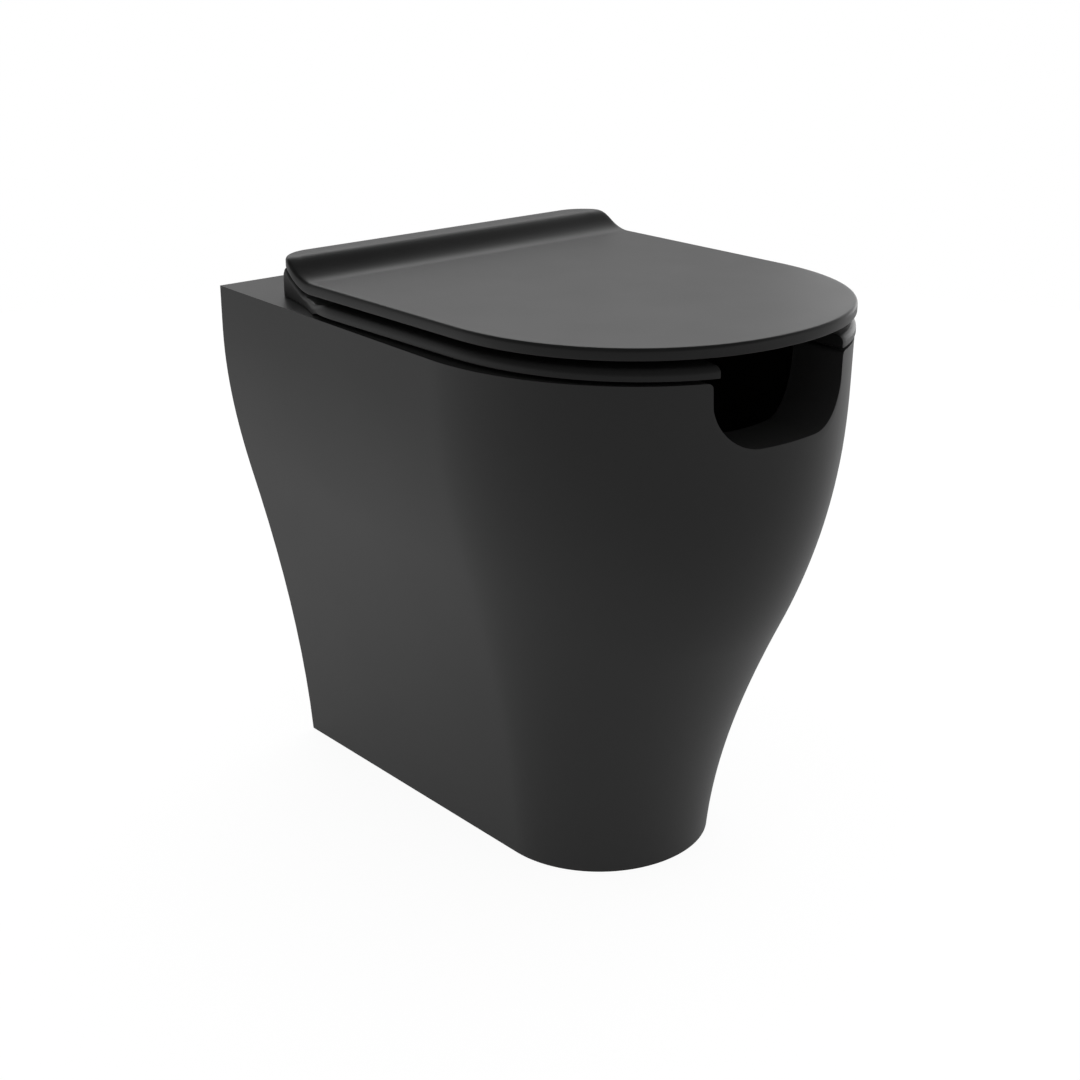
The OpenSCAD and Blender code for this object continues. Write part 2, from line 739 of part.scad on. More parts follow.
module washer(side) {
    color([0.75, 0.75, 0.75]) at_post(side, rim_h - sleeve_l - washer_t) difference() {
        cylinder(r = washer_r, h = washer_t);
        translate([0, 0, -past]) cylinder(r = stud_r + loose_fit, h = washer_t + 2 * past);
    }
}

module nut(side) {
    color([0.75, 0.75, 0.75]) at_post(side, rim_h - sleeve_l - washer_t - nut_t) difference() {
        cylinder(r = nut_af / 2 / cos(30), h = nut_t, $fn = 6);
        translate([0, 0, -past]) cylinder(r = stud_r + seated_fit, h = nut_t + 2 * past);
    }
}

// Rubber buffers under the seat and under the lid

side_buffer_x = (seat_half_w + seat_hole_half_w) / 2 + 10;
side_buffer_y = wall_y - side_buffer_setback;
front_buffer_y = wall_y - front_buffer_setback;

module seat_buffer(x, y) {
    color([0.1, 0.1, 0.1]) translate([x, y, rim_h + rest_gap]) cylinder(r = buffer_r, h = seat_lift - rest_gap);
}

lid_buffer_x = (seat_half_w + seat_hole_half_w) / 2;
module lid_buffer(x, y) {
    low = seat_top + seat_crown + rest_gap;
    color([0.1, 0.1, 0.1]) translate([x, y, rim_h + low]) cylinder(r = buffer_r, h = lid_lift + lid_recess - low);
}

pan();
skirt();
bowl();
trapway();
flush_inlet();
seat();
lid();
post(-1);  // post_left
post(1);  // post_right
pin(-1);  // pin_left
pin(1);  // pin_right
seat_damper();
seat_bush();
lid_damper();
lid_bush();
post_gasket(-1);  // post_gasket_left
post_gasket(1);  // post_gasket_right
stud(-1);  // stud_left
stud(1);  // stud_right
sleeve(-1);  // sleeve_left
sleeve(1);  // sleeve_right
washer(-1);  // washer_left
washer(1);  // washer_right
nut(-1);  // nut_left
nut(1);  // nut_right
seat_buffer(-side_buffer_x, side_buffer_y);  // seat_buffer_left
seat_buffer(side_buffer_x, side_buffer_y);  // seat_buffer_right
seat_buffer(-front_buffer_half_w, front_buffer_y);  // seat_buffer_front_left
seat_buffer(front_buffer_half_w, front_buffer_y);  // seat_buffer_front_right
lid_buffer(-lid_buffer_x, side_buffer_y);  // lid_buffer_left
lid_buffer(lid_buffer_x, side_buffer_y);  // lid_buffer_right
lid_buffer(-front_buffer_half_w, front_buffer_y);  // lid_buffer_front_left
lid_buffer(front_buffer_half_w, front_buffer_y);  // lid_buffer_front_right
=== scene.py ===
import math
import bmesh
import bpy
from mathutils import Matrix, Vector


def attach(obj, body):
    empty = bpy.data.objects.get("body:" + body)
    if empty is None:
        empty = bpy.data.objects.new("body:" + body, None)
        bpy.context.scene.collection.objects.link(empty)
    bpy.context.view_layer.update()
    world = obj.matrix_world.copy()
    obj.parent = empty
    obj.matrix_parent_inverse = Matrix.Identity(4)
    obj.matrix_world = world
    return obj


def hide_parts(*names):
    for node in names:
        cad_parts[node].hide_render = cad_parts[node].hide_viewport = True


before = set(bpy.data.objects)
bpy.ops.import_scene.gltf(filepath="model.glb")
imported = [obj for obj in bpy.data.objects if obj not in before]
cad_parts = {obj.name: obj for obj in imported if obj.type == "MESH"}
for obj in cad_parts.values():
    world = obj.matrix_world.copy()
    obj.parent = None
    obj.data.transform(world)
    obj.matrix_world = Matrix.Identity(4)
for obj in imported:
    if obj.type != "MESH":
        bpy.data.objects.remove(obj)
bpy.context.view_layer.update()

# Camera: a long lens at standing height, to the left of the pan's front. The lens, the place and
# the two angles put the rim, the foot and the lid where the photograph has them.
camera_data = bpy.data.cameras.new("camera")
camera_data.sensor_width = 36.0
camera_data.lens = 59.894
camera = bpy.data.objects.new("camera", camera_data)
camera.location = (-0.97990, -1.12356, 0.81281)
camera.rotation_euler = (math.radians(69.43), 0.0, math.radians(-40.40))
bpy.context.scene.collection.objects.link(camera)
bpy.context.scene.camera = camera

# Studio: a white floor in a white room, which the camera sees at full white. What the glaze mirrors
# is dimmer in front, on the left and overhead. A long light behind draws the bright line along the
# foot of the lid's wave, and a soft light on the right the one down the pan's right-hand side.
bpy.context.scene.view_settings.view_transform = "Standard"


def ramp(tree, place, direction, span, values):
    """A value that runs between two others as a place goes along a direction."""
    along_it = tree.nodes.new("ShaderNodeVectorMath")
    along_it.operation = "DOT_PRODUCT"
    along_it.inputs[1].default_value = direction
    tree.links.new(place, along_it.inputs[0])
    ranged = tree.nodes.new("ShaderNodeMapRange")
    ranged.inputs["From Min"].default_value, ranged.inputs["From Max"].default_value = span
    ranged.inputs["To Min"].default_value, ranged.inputs["To Max"].default_value = values
    tree.links.new(along_it.outputs["Value"], ranged.inputs["Value"])
    return ranged.outputs["Result"]


def greater(tree, first, second):
    value = tree.nodes.new("ShaderNodeMath")
    value.operation = "MAXIMUM"
    tree.links.new(first, value.inputs[0])
    tree.links.new(second, value.inputs[1])
    return value.outputs["Value"]


def whiten(tree, kind, plain, mirrored, strength, share, surface):
    """Shows white to the camera and through clear things, and a mirrored brightness to mirrors."""
    rays = tree.nodes.new("ShaderNodeLightPath")
    direct = greater(tree, rays.outputs["Is Camera Ray"], rays.outputs["Is Transmission Ray"])
    seen = greater(tree, direct, rays.outputs["Is Glossy Ray"])
    white = tree.nodes.new(kind)
    white.inputs["Color"].default_value = (strength, strength, strength, 1.0)
    tree.links.new(greater(tree, direct, mirrored), white.inputs["Strength"])
    part = tree.nodes.new("ShaderNodeMath")
    part.operation = "MULTIPLY"
    part.inputs[1].default_value = share
    tree.links.new(seen, part.inputs[0])
    mixed = tree.nodes.new("ShaderNodeMixShader")
    tree.links.new(part.outputs["Value"], mixed.inputs["Fac"])
    tree.links.new(plain, mixed.inputs[1])
    tree.links.new(white.outputs[0], mixed.inputs[2])
    tree.links.new(mixed.outputs["Shader"], surface)


room = bpy.data.worlds.new("room")
bpy.context.scene.world = room
room.use_nodes = True
room_light = room.node_tree.nodes["Background"]
room_light.inputs["Color"].default_value = (1.0, 1.0, 1.0, 1.0)
room_light.inputs["Strength"].default_value = 0.65
sky = room.node_tree.nodes.new("ShaderNodeTexCoord")
room_mirrored = ramp(room.node_tree, sky.outputs["Generated"], (-0.30, -0.25, 0.92), (0.05, 0.53),
                     (0.44, 0.03))
whiten(room.node_tree, "ShaderNodeBackground", room_light.outputs["Background"], room_mirrored, 1.0, 1.0,
       room.node_tree.nodes["World Output"].inputs["Surface"])

bpy.ops.object.select_all(action="DESELECT")
bpy.ops.mesh.primitive_circle_add(vertices=64, radius=2.2, fill_type="NGON", location=(0.0, 0.0, 0.0))
floor = bpy.context.object
floor.name = "studio_floor"
floor_paint = bpy.data.materials.new("floor_paint")
floor_paint.use_nodes = True
floor_shader = floor_paint.node_tree.nodes["Principled BSDF"]
floor_shader.inputs["Base Color"].default_value = (0.95, 0.95, 0.95, 1.0)
floor_shader.inputs["Roughness"].default_value = 0.9
ground = floor_paint.node_tree.nodes.new("ShaderNodeTexCoord")
floor_mirrored = ramp(floor_paint.node_tree, ground.outputs["Object"], (0.35, 1.0, 0.0), (-0.75, 0.35),
                      (0.20, 0.53))
whiten(floor_paint.node_tree, "ShaderNodeEmission", floor_shader.outputs["BSDF"], floor_mirrored, 1.08,
       0.85, floor_paint.node_tree.nodes["Material Output"].inputs["Surface"])
floor.data.materials.append(floor_paint)


def soft_light(name, place, aim, size, watts):
    lamp_data = bpy.data.lights.new(name, "AREA")
    lamp_data.shape = "RECTANGLE"
    lamp_data.size, lamp_data.size_y = size
    lamp_data.energy = watts
    lamp = bpy.data.objects.new(name, lamp_data)
    lamp.location = place
    lamp.rotation_euler = (Vector(aim) - Vector(place)).to_track_quat("-Z", "Y").to_euler()
    bpy.context.scene.collection.objects.link(lamp)


soft_light("rear_light", (1.30, 1.45, 1.45), (0.0, 0.1, 0.48), (2.6, 0.55), 5.5)
soft_light("right_light", (2.2, 0.7, 0.50), (0.0, 0.0, 0.25), (1.5, 0.9), 6.5)

# Pan: one casting of vitreous china in a satin black glaze. Its sides lean out from a narrow foot to
# the rim, the front wall has a notch, and the bowl inside runs down smoothly to the trap.
WALL = 0.264
RIM_HEIGHT = 0.4625
FULLNESS = 2.02
side_knots = [(0, 0.0985, 0.075), (0.280, 0.1505, 0.275), (0.4205, 0.1735, 0.01), (RIM_HEIGHT, 0.1735, 0)]
front_knots = [(0, 0.4155, 0.085), (0.225, 0.4885, 0.49), (0.3905, 0.5278, 0.02), (RIM_HEIGHT, 0.5275, 0)]


def along(knots, t):
    """The value at t of a smooth curve through knots of place, value and slope."""
    for p, q in zip(knots, knots[1:]):
        if t <= q[0] or q is knots[-1]:
            h = q[0] - p[0]
            u = (t - p[0]) / h
            return ((2 * u**3 - 3 * u**2 + 1) * p[1] + (u**3 - 2 * u**2 + u) * h * p[2]
                    + (3 * u**2 - 2 * u**3) * q[1] + (u**3 - u**2) * h * q[2])


def skin_widest(z):
    return along(side_knots, z) + 0.0134 * (z / RIM_HEIGHT) ** 2


def skin_side_y(z):
    return WALL - 0.320 - 0.0135 * z / RIM_HEIGHT


def skin_reach(z):
    """How far the front stands out from the line where the sides are widest."""
    return skin_side_y(z) - (WALL - along(front_knots, z))


def skin_point(place, z):
    """Place runs from 0 at the front to 1 at the widest point, 2 at the wall and 3 at its middle."""
    rear_w = along(side_knots, z)
    if place > 2:
        return rear_w * (3 - place), WALL
    widest = skin_widest(z)
    side_y = skin_side_y(z)
    if place > 1:
        return widest + (rear_w - widest) * (place - 1), side_y + (WALL - side_y) * (place - 1)
    a = math.radians(90 * place)
    return widest * math.sin(a) ** (2 / FULLNESS), side_y - skin_reach(z) * math.cos(a) ** (2 / FULLNESS)


def skin_place(x, z):
    return math.degrees(math.asin((x / skin_widest(z)) ** (FULLNESS / 2))) / 90


BOWL_FLOOR = 0.168
SUMP_R = 0.034
SUMP_Y = -0.0305


def bowl_share(z):
    return math.sin(math.radians(90 * max(0.0, (z - BOWL_FLOOR) / (RIM_HEIGHT - BOWL_FLOOR))))


def bowl_half_w(z):
    return SUMP_R + 0.100 * bowl_share(z)


def bowl_mid_y(z):
    return SUMP_Y - 0.0295 * bowl_share(z)


def bowl_point(angle, z):
    """The bowl is an egg in plan: angle runs from 0 at its front to 180 at its back."""
    front_y = SUMP_Y - SUMP_R - 0.1585 * bowl_share(z)
    rear_y = SUMP_Y + SUMP_R + 0.0705 * bowl_share(z)
    mid_y = bowl_mid_y(z)
    c = math.cos(math.radians(angle))
    length = mid_y - front_y if c > 0 else rear_y - mid_y
    return bowl_half_w(z) * math.sin(math.radians(angle)), mid_y - length * c


def bowl_angle(x, z):
    return math.degrees(math.asin(x / bowl_half_w(z)))


# Half of the rim's line from the front: along the notch's floor, round its corner, up its side,
# over its soft lip and back along the rim. Each entry is a column of the mesh: the place on the skin
# and the height of its top, its place at the foot, and its angles at the bowl's top and bottom.
NOTCH_HALF_W = 0.071
NOTCH_DEPTH = 0.055
NOTCH_FLOOR = RIM_HEIGHT - NOTCH_DEPTH
NOTCH_R = 0.042
LIP_R = 0.004
notch = [((NOTCH_HALF_W - NOTCH_R) * i / 6, NOTCH_FLOOR) for i in range(6)]
for i in range(15):
    a = math.radians(90 * i / 14)
    notch.append((NOTCH_HALF_W - NOTCH_R + NOTCH_R * math.sin(a),
                  NOTCH_FLOOR + NOTCH_R * (1 - math.cos(a))))
for i in range(1, 4):
    notch.append((NOTCH_HALF_W, NOTCH_FLOOR + NOTCH_R + (NOTCH_DEPTH - NOTCH_R - LIP_R) * i / 3))
for i in range(1, 6):
    a = math.radians(90 * i / 5)
    notch.append((NOTCH_HALF_W + LIP_R * (1 - math.cos(a)), RIM_HEIGHT - LIP_R + LIP_R * math.sin(a)))
lip_place = skin_place(notch[-1][0], RIM_HEIGHT)
lip_angle = bowl_angle(notch[-1][0], RIM_HEIGHT)
half = []
for k, (x, z) in enumerate(notch):
    share = k / (len(notch) - 1)
    half.append((skin_place(x, z), z, lip_place * share, bowl_angle(x, z), lip_angle * share))
for count, from_place, to_place, from_angle, to_angle in (
        (34, lip_place, 1, lip_angle, 88), (30, 1, 2, 88, 148), (22, 2, 3, 148, 180)):
    for k in range(1, count + 1):
        place = from_place + (to_place - from_place) * k / count
        angle = from_angle + (to_angle - from_angle) * k / count
        half.append((place, RIM_HEIGHT, place, angle, angle))
columns = [(c, 1) for c in half] + [(c, -1) for c in reversed(half[1:-1])]
SKIN_ROWS, RIM_ROWS, BOWL_ROWS = 46, 8, 40


def pan_point(i, j):
    (place, top_z, foot_place, angle, sump_angle), side = columns[i % len(columns)]
    if j <= SKIN_ROWS:
        t = j / SKIN_ROWS
        z = top_z * t
        x, y = skin_point(foot_place + (place - foot_place) * t, z)
    elif j <= SKIN_ROWS + RIM_ROWS:
        t = (j - SKIN_ROWS) / RIM_ROWS
        z = top_z
        outer, inner = skin_point(place, z), bowl_point(angle, z)
        x, y = outer[0] + (inner[0] - outer[0]) * t, outer[1] + (inner[1] - outer[1]) * t
    else:
        t = (j - SKIN_ROWS - RIM_ROWS) / BOWL_ROWS
        z = BOWL_FLOOR + (top_z - BOWL_FLOOR) * math.cos(math.radians(90 * t)) ** 1.3
        x, y = bowl_point(angle + (sump_angle - angle) * t, z)
    return Vector((x * side, y, z))


def sheet(name, wide, high, point):
    """Adds a flat grid and moves each of its points to the place that point(i, j) gives."""
    bpy.ops.object.select_all(action="DESELECT")
    bpy.ops.mesh.primitive_grid_add(x_subdivisions=wide, y_subdivisions=high, size=1.0)
    piece = bpy.context.object
    piece.name = name
    for v in piece.data.vertices:
        v.co = point(round((v.co.x + 0.5) * wide), round((v.co.y + 0.5) * high))
    bpy.ops.object.mode_set(mode="EDIT")
    bpy.ops.mesh.select_all(action="SELECT")
    bpy.ops.mesh.remove_doubles(threshold=0.00002)
    bpy.ops.mesh.normals_make_consistent(inside=False)
    bpy.ops.object.mode_set(mode="OBJECT")
    return piece


def pick(piece, kind, test):
    """In edit mode, selects the faces or edges of a piece that pass a test of their middle."""
    bpy.ops.object.mode_set(mode="EDIT")
    bpy.ops.mesh.select_mode(type=kind)
    bpy.ops.mesh.select_all(action="DESELECT")
    mesh = bmesh.from_edit_mesh(piece.data)
    for part in mesh.faces if kind == "FACE" else mesh.edges:
        if kind == "FACE":
            part.select = test(part.calc_center_median(), part)
        else:
            part.select = test((part.verts[0].co + part.verts[1].co) / 2, part)
    mesh.select_flush_mode()
    bmesh.update_edit_mesh(piece.data)


def sharp(edge, degrees):
    return len(edge.link_faces) == 2 and edge.calc_face_angle(0.0) > math.radians(degrees)


def smooth(piece, degrees):
    bpy.ops.object.mode_set(mode="OBJECT")
    bpy.ops.object.shade_smooth_by_angle(angle=math.radians(degrees))


pan = sheet("pan_casting", len(columns), SKIN_ROWS + RIM_ROWS + BOWL_ROWS, pan_point)
pick(pan, "FACE", lambda middle, face: middle.y > WALL - 0.0001 and middle.z < RIM_HEIGHT - 0.0001)
bpy.ops.mesh.delete(type="FACE")
# The edges of the notch are rounder than those of the rim.
for softness, top_z in ((0.0042, RIM_HEIGHT - LIP_R), (0.0025, 1.0)):
    pick(pan, "EDGE", lambda middle, edge: sharp(edge, 35) and RIM_HEIGHT - 0.07 < middle.z < top_z)
    bpy.ops.mesh.bevel(offset=softness, segments=4, profile=0.5, affect="EDGES", clamp_overlap=True)
smooth(pan, 40)


def finish(name, dark, light, patch, roughness, grain, depth, metallic=0.0, stretch=(1, 1, 1)):
    """A surface whose colour and roughness drift in soft patches, over a fine grain in relief."""
    material = bpy.data.materials.new(name)
    material.use_nodes = True
    nodes, links = material.node_tree.nodes, material.node_tree.links
    shader = nodes["Principled BSDF"]
    shader.inputs["Metallic"].default_value = metallic
    shader.inputs["IOR"].default_value = 1.45
    place = nodes.new("ShaderNodeTexCoord")
    scaled = nodes.new("ShaderNodeMapping")
    scaled.inputs["Scale"].default_value = stretch
    links.new(place.outputs["Object"], scaled.inputs["Vector"])
    patches = nodes.new("ShaderNodeTexNoise")
    patches.inputs["Scale"].default_value = patch
    patches.inputs["Detail"].default_value = 4.0
    links.new(scaled.outputs["Vector"], patches.inputs["Vector"])
    colour = nodes.new("ShaderNodeMix")
    colour.data_type = "RGBA"
    colour.inputs["A"].default_value = dark + (1.0,)
    colour.inputs["B"].default_value = light + (1.0,)
    links.new(patches.outputs["Fac"], colour.inputs["Factor"])
    links.new(colour.outputs["Result"], shader.inputs["Base Color"])
    specks = nodes.new("ShaderNodeTexNoise")
    specks.inputs["Scale"].default_value = grain
    specks.inputs["Detail"].default_value = 2.0
    links.new(scaled.outputs["Vector"], specks.inputs["Vector"])
    dull = nodes.new("ShaderNodeMapRange")
    dull.inputs["To Min"].default_value = roughness[0]
    dull.inputs["To Max"].default_value = roughness[1]
    links.new(patches.outputs["Fac"], dull.inputs["Value"])
    links.new(dull.outputs["Result"], shader.inputs["Roughness"])
    relief = nodes.new("ShaderNodeBump")
    relief.inputs["Distance"].default_value = depth
    links.new(specks.outputs["Fac"], relief.inputs["Height"])
    links.new(relief.outputs["Normal"], shader.inputs["Normal"])
    return material


glaze = finish("satin_black_glaze", (0.018, 0.018, 0.018), (0.022, 0.022, 0.022), 9.0, (0.34, 0.42),
               900.0, 0.00002)
pan.data.materials.append(glaze)
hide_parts("pan", "skirt", "bowl")
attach(pan, "pan_body")

# Inside of the pan: the hollow skirt and the underside of the bowl, open to the wall and to the floor.
# It is the rest of the same casting, glazed thinly and left duller.
SEAM_HEIGHT = 0.300
RIM_DEPTH = 0.068
bpy.ops.object.select_all(action="DESELECT")
for name in ("skirt", "bowl", "pan"):
    works = bpy.data.objects.new("pan_inside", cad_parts[name].data.copy())
    bpy.context.scene.collection.objects.link(works)
    bpy.context.view_layer.objects.active = works
    works.select_set(True)
bpy.ops.object.join()
bpy.ops.object.mode_set(mode="EDIT")
bpy.ops.mesh.select_all(action="SELECT")
bpy.ops.mesh.remove_doubles(threshold=0.00002)


def on_pan_skin(middle, face):
    """The outer skin, the rim, the notch and the bowl, which the glazed piece has, and inner seams."""
    x, y, z = abs(middle.x), middle.y, middle.z
    if z > RIM_HEIGHT - 0.004 and face.normal.z > 0.2:
        return True
    if abs(z - SEAM_HEIGHT) < 0.0003 or abs(z - RIM_HEIGHT + RIM_DEPTH) < 0.0003 and face.normal.z > 0.9:
        return True
    if y > WALL - 0.0005 and face.normal.y > 0.9 or z < 0.0005:
        return False
    mid_y = bowl_mid_y(z)
    length = abs(bowl_point(0 if y < mid_y else 180, z)[1] - mid_y)
    if z > BOWL_FLOOR + 0.0005 and (x / bowl_half_w(z)) ** 2 + ((y - mid_y) / length) ** 2 < 1.09:
        return True
    if x < NOTCH_HALF_W + 0.001 and y < -0.18 and z > NOTCH_FLOOR - 0.001:
        return True
    side_y = skin_side_y(z)
    if y > side_y:
        return x > along(side_knots, z) - 0.004
    return (x / (skin_widest(z) - 0.006)) ** 2 + ((side_y - y) / (skin_reach(z) - 0.006)) ** 2 > 1.0


pick(works, "FACE", on_pan_skin)
bpy.ops.mesh.delete(type="FACE")
smooth(works, 35)
dull_glaze = finish("unpolished_glaze", (0.016, 0.016, 0.016), (0.024, 0.023, 0.022), 25.0, (0.5, 0.62),
                    400.0, 0.0001)
works.data.materials.clear()
works.data.materials.append(dull_glaze)
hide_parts("pan", "skirt", "bowl")
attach(works, "pan_body")

# Trap and flush inlet: the tubes behind the bowl, part of the same casting. They come from the CAD
# model as they are, under the dull glaze.


def dress(names, material):
    for name in names:
        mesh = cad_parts[name].data
        mesh.materials.clear()
        mesh.materials.append(material)


dress(("trapway", "flush_inlet"), dull_glaze)

# Seat: a thick open-fronted ring, moulded in satin black thermoset with a soft crown. Its rear part
# narrows and rises in a wave to the hinges, its underside comes down close to the deck, and a lower
# ledge along its edge leaves a dark gap below the lid.
SEAT_LOW = RIM_HEIGHT + 0.0035
SEAT_TOP = RIM_HEIGHT + 0.0128
AXIS_Y = 0.192
AXIS_Z = RIM_HEIGHT + 0.013
CROWN = 0.0025
REAR_FOOT_Y = 0.111
REAR_FOOT_DROP = 0.0031
SEAT_RISE = 0.0135
HUMP = 0.0045
LEDGE_DROP = 0.0042
LEDGE_RISE = 0.0148
wave_knots = [(0.109, 0, 0), (0.1347, 0.5636, 43.8), (0.1389, 0.7455, 43.8), (0.1505, 1, 0)]
SEAT_HALF_W = 0.1795
SEAT_MID_Y = -0.075
SEAT_REACH = 0.1885
SEAT_REAR = 0.193
SEAT_CORNER_R = 0.006
REAR_ROUND = 0.007
REAR_FACE = 0.018
HOLE_Y = -0.070
HOLE_HALF_W = 0.116
HOLE_REACH = 0.132
WAIST_Y = 0.078
waist_knots = [(WAIST_Y, SEAT_HALF_W, 0), (0.104, 0.1772, -0.20), (0.120, 0.1722, -0.38),
               (0.134, 0.1667, -0.37), (0.150, 0.1615, -0.28), (0.165, 0.1579, -0.20),
               (SEAT_REAR, 0.1535, -0.13)]


def held(t):
    """A share, held between 0 and 1."""
    return min(1.0, max(0.0, t))


def ease(t):
    u = held(t)
    return u * u * (3 - 2 * u)


def wave(y):
    """From 0 to 1 over a long hollow foot, a straight slope and a tighter crest."""
    return along(wave_knots, min(wave_knots[-1][0], max(wave_knots[0][0], y)))


def rear_drop(y):
    """How far the seat has rounded off on its way down to its rear face."""
    turned = held((y - SEAT_REAR + REAR_ROUND) / REAR_ROUND)
    return REAR_FACE * (1 - (1 - turned**1.4) ** (1 / 1.4))


def seat_level(y):
    """The seat's top, which rises to the hinges and comes closest to the lid under its wave."""
    hump = ease((y - 0.112) / 0.028) * (1 - ease((y - 0.158) / 0.016))
    return SEAT_TOP + SEAT_RISE * wave(y) + HUMP * hump - rear_drop(y)


def ledge(y):
    """The height of the seat's outer edge, which stays below the lid's edge along the wave."""
    risen = held((y - 0.148) / 0.038) ** 1.3
    return SEAT_TOP - LEDGE_DROP * ease((y - 0.092) / 0.030) + LEDGE_RISE * risen - rear_drop(y)


def seat_height(edge_y, y, inward):
    """The seat's top at a distance inward from its edge, which has a ledge at the sides only."""
    ledge_end = 0.003 + 0.012 * (1 - ease((edge_y - 0.135) / 0.025))
    side_z = ledge(edge_y) + (seat_level(y) - ledge(edge_y)) * ease((inward - ledge_end) / 0.008)
    return side_z + (seat_level(y) - side_z) * ease((edge_y - 0.178) / 0.010)


def edge_round(y):
    """The radius of the seat's upper edge, which is tighter at the back."""
    return 0.0056 - 0.0025 * ease((y - 0.110) / 0.035)


# Half of the ring from the gap's right-hand face to the middle of the back. Each entry has the
# point on its outline and the point on the edge of the hole.
GAP_X = 0.0667
SEAT_POWER = 2 / 2.115
gap_place = math.asin((GAP_X / SEAT_HALF_W) ** (1 / SEAT_POWER))
hole_place = math.degrees(math.asin(GAP_X / HOLE_HALF_W))
ring = []


def hole_point(angle):
    a = math.radians(angle)
    return HOLE_HALF_W * math.sin(a), HOLE_Y - HOLE_REACH * math.cos(a)


for k in range(29):
    a = gap_place + (math.pi / 2 - gap_place) * k / 28
    edge = (SEAT_HALF_W * math.sin(a) ** SEAT_POWER,
            SEAT_MID_Y - SEAT_REACH * max(0.0, math.cos(a)) ** SEAT_POWER)
    ring.append((edge, hole_point(hole_place + (88 - hole_place) * k / 28)))
for k in range(1, 14):
    edge = (SEAT_HALF_W, SEAT_MID_Y + (WAIST_Y - SEAT_MID_Y) * k / 13)
    ring.append((edge, hole_point(88 + 42 * k / 13)))
for k in range(1, 33):
    y = WAIST_Y + (SEAT_REAR - SEAT_CORNER_R - WAIST_Y) * k / 32
    ring.append(((along(waist_knots, y), y), hole_point(130 + 28 * k / 32)))
corner_x, corner_y = ring[-1][0]
for k in range(1, 6):
    a = math.radians(90 * k / 5)
    edge = (corner_x - SEAT_CORNER_R * (1 - math.cos(a)), corner_y + SEAT_CORNER_R * math.sin(a))
    ring.append((edge, hole_point(158 + k)))
for k in range(1, 27):
    ring.append((((corner_x - SEAT_CORNER_R) * (1 - k / 26), SEAT_REAR), hole_point(163 + 17 * k / 26)))
ring = [(c, 1) for c in ring] + [(c, -1) for c in reversed(ring[:-1])]
SEAT_ROWS = 34
SIDE_ROWS = 4
ROUND_ROWS = 8


def between(p, q, t):
    return p[0] + (q[0] - p[0]) * t, p[1] + (q[1] - p[1]) * t


def seat_point(i, j):
    """Rows run from the hole out under the ring, up its side, round its edge and back to the hole."""
    (edge, hole), side = ring[i]
    far = math.hypot(hole[0] - edge[0], hole[1] - edge[1])
    soft = edge_round(edge[1])
    turn = SEAT_ROWS + SIDE_ROWS
    top = turn + ROUND_ROWS
    j = j % (top + SEAT_ROWS + SIDE_ROWS)
    if j <= turn:
        x, y = between(hole, edge, min(1.0, j / SEAT_ROWS))
        z = SEAT_LOW - REAR_FOOT_DROP * ease((y - REAR_FOOT_Y) / 0.014 + 0.5)
        if j > SEAT_ROWS:
            z += (seat_height(y, y, 0.0) - soft - z) * (j - SEAT_ROWS) / SIDE_ROWS
    elif j <= top:
        a = math.radians(90 * (j - turn) / ROUND_ROWS)
        inward = soft * (1 - math.cos(a))
        x, y = between(edge, hole, inward / far)
        z = seat_height(edge[1], y, inward) - soft * (1 - math.sin(a))
    elif j <= top + SEAT_ROWS:
        t = ((j - top) / SEAT_ROWS) ** 1.2
        inward = soft + (far - soft) * t
        x, y = between(edge, hole, inward / far)
        off_edge = math.sin(math.radians(90 * min(1.0, t * far / 0.032)))
        crown = off_edge * min(1.0, (1 - t) * far / 0.018) ** 0.6
        z = seat_height(edge[1], y, inward) + CROWN * crown * (1 - ease((y - 0.130) / 0.050))
    else:
        x, y = hole
        z = SEAT_TOP + (SEAT_LOW - SEAT_TOP) * (j - top - SEAT_ROWS) / SIDE_ROWS
    return Vector((x * side, y, z))


def cut(piece, cutter, operation):
    """Joins a finished cutter to a piece, or cuts it away, as an applied modifier."""
    bpy.ops.object.select_all(action="DESELECT")
    bpy.context.view_layer.objects.active = piece
    piece.select_set(True)
    change = piece.modifiers.new("cut", "BOOLEAN")
    change.operation = operation
    change.solver = "EXACT"
    change.object = cutter
    bpy.ops.object.modifier_apply(modifier=change.name)
    bpy.data.objects.remove(cutter)


def block(low, high):
    bpy.ops.object.select_all(action="DESELECT")
    bpy.ops.mesh.primitive_cube_add(size=1.0)
    box = bpy.context.object
    for v in box.data.vertices:
        v.co = Vector([low[k] if v.co[k] < 0 else high[k] for k in range(3)])
    return box


SOCKET_R = 0.011
SOCKET_BORE_R = 0.00755


def barrel(from_x, to_x, radius, soft=0.0):
    """A round bar along the hinge's axis, with soft ends where that is asked for."""
    bpy.ops.object.select_all(action="DESELECT")
    bpy.ops.mesh.primitive_cylinder_add(vertices=48, radius=radius, depth=abs(to_x - from_x),
                                        location=((from_x + to_x) / 2, AXIS_Y, AXIS_Z),
                                        rotation=(0.0, math.pi / 2, 0.0))
    bpy.ops.object.transform_apply(location=True, rotation=True, scale=True)
    bar = bpy.context.object
    if soft:
        pick(bar, "EDGE", lambda middle, edge: sharp(edge, 60))
        bpy.ops.mesh.bevel(offset=soft, segments=3, affect="EDGES")
        bpy.ops.object.mode_set(mode="OBJECT")
    return bar


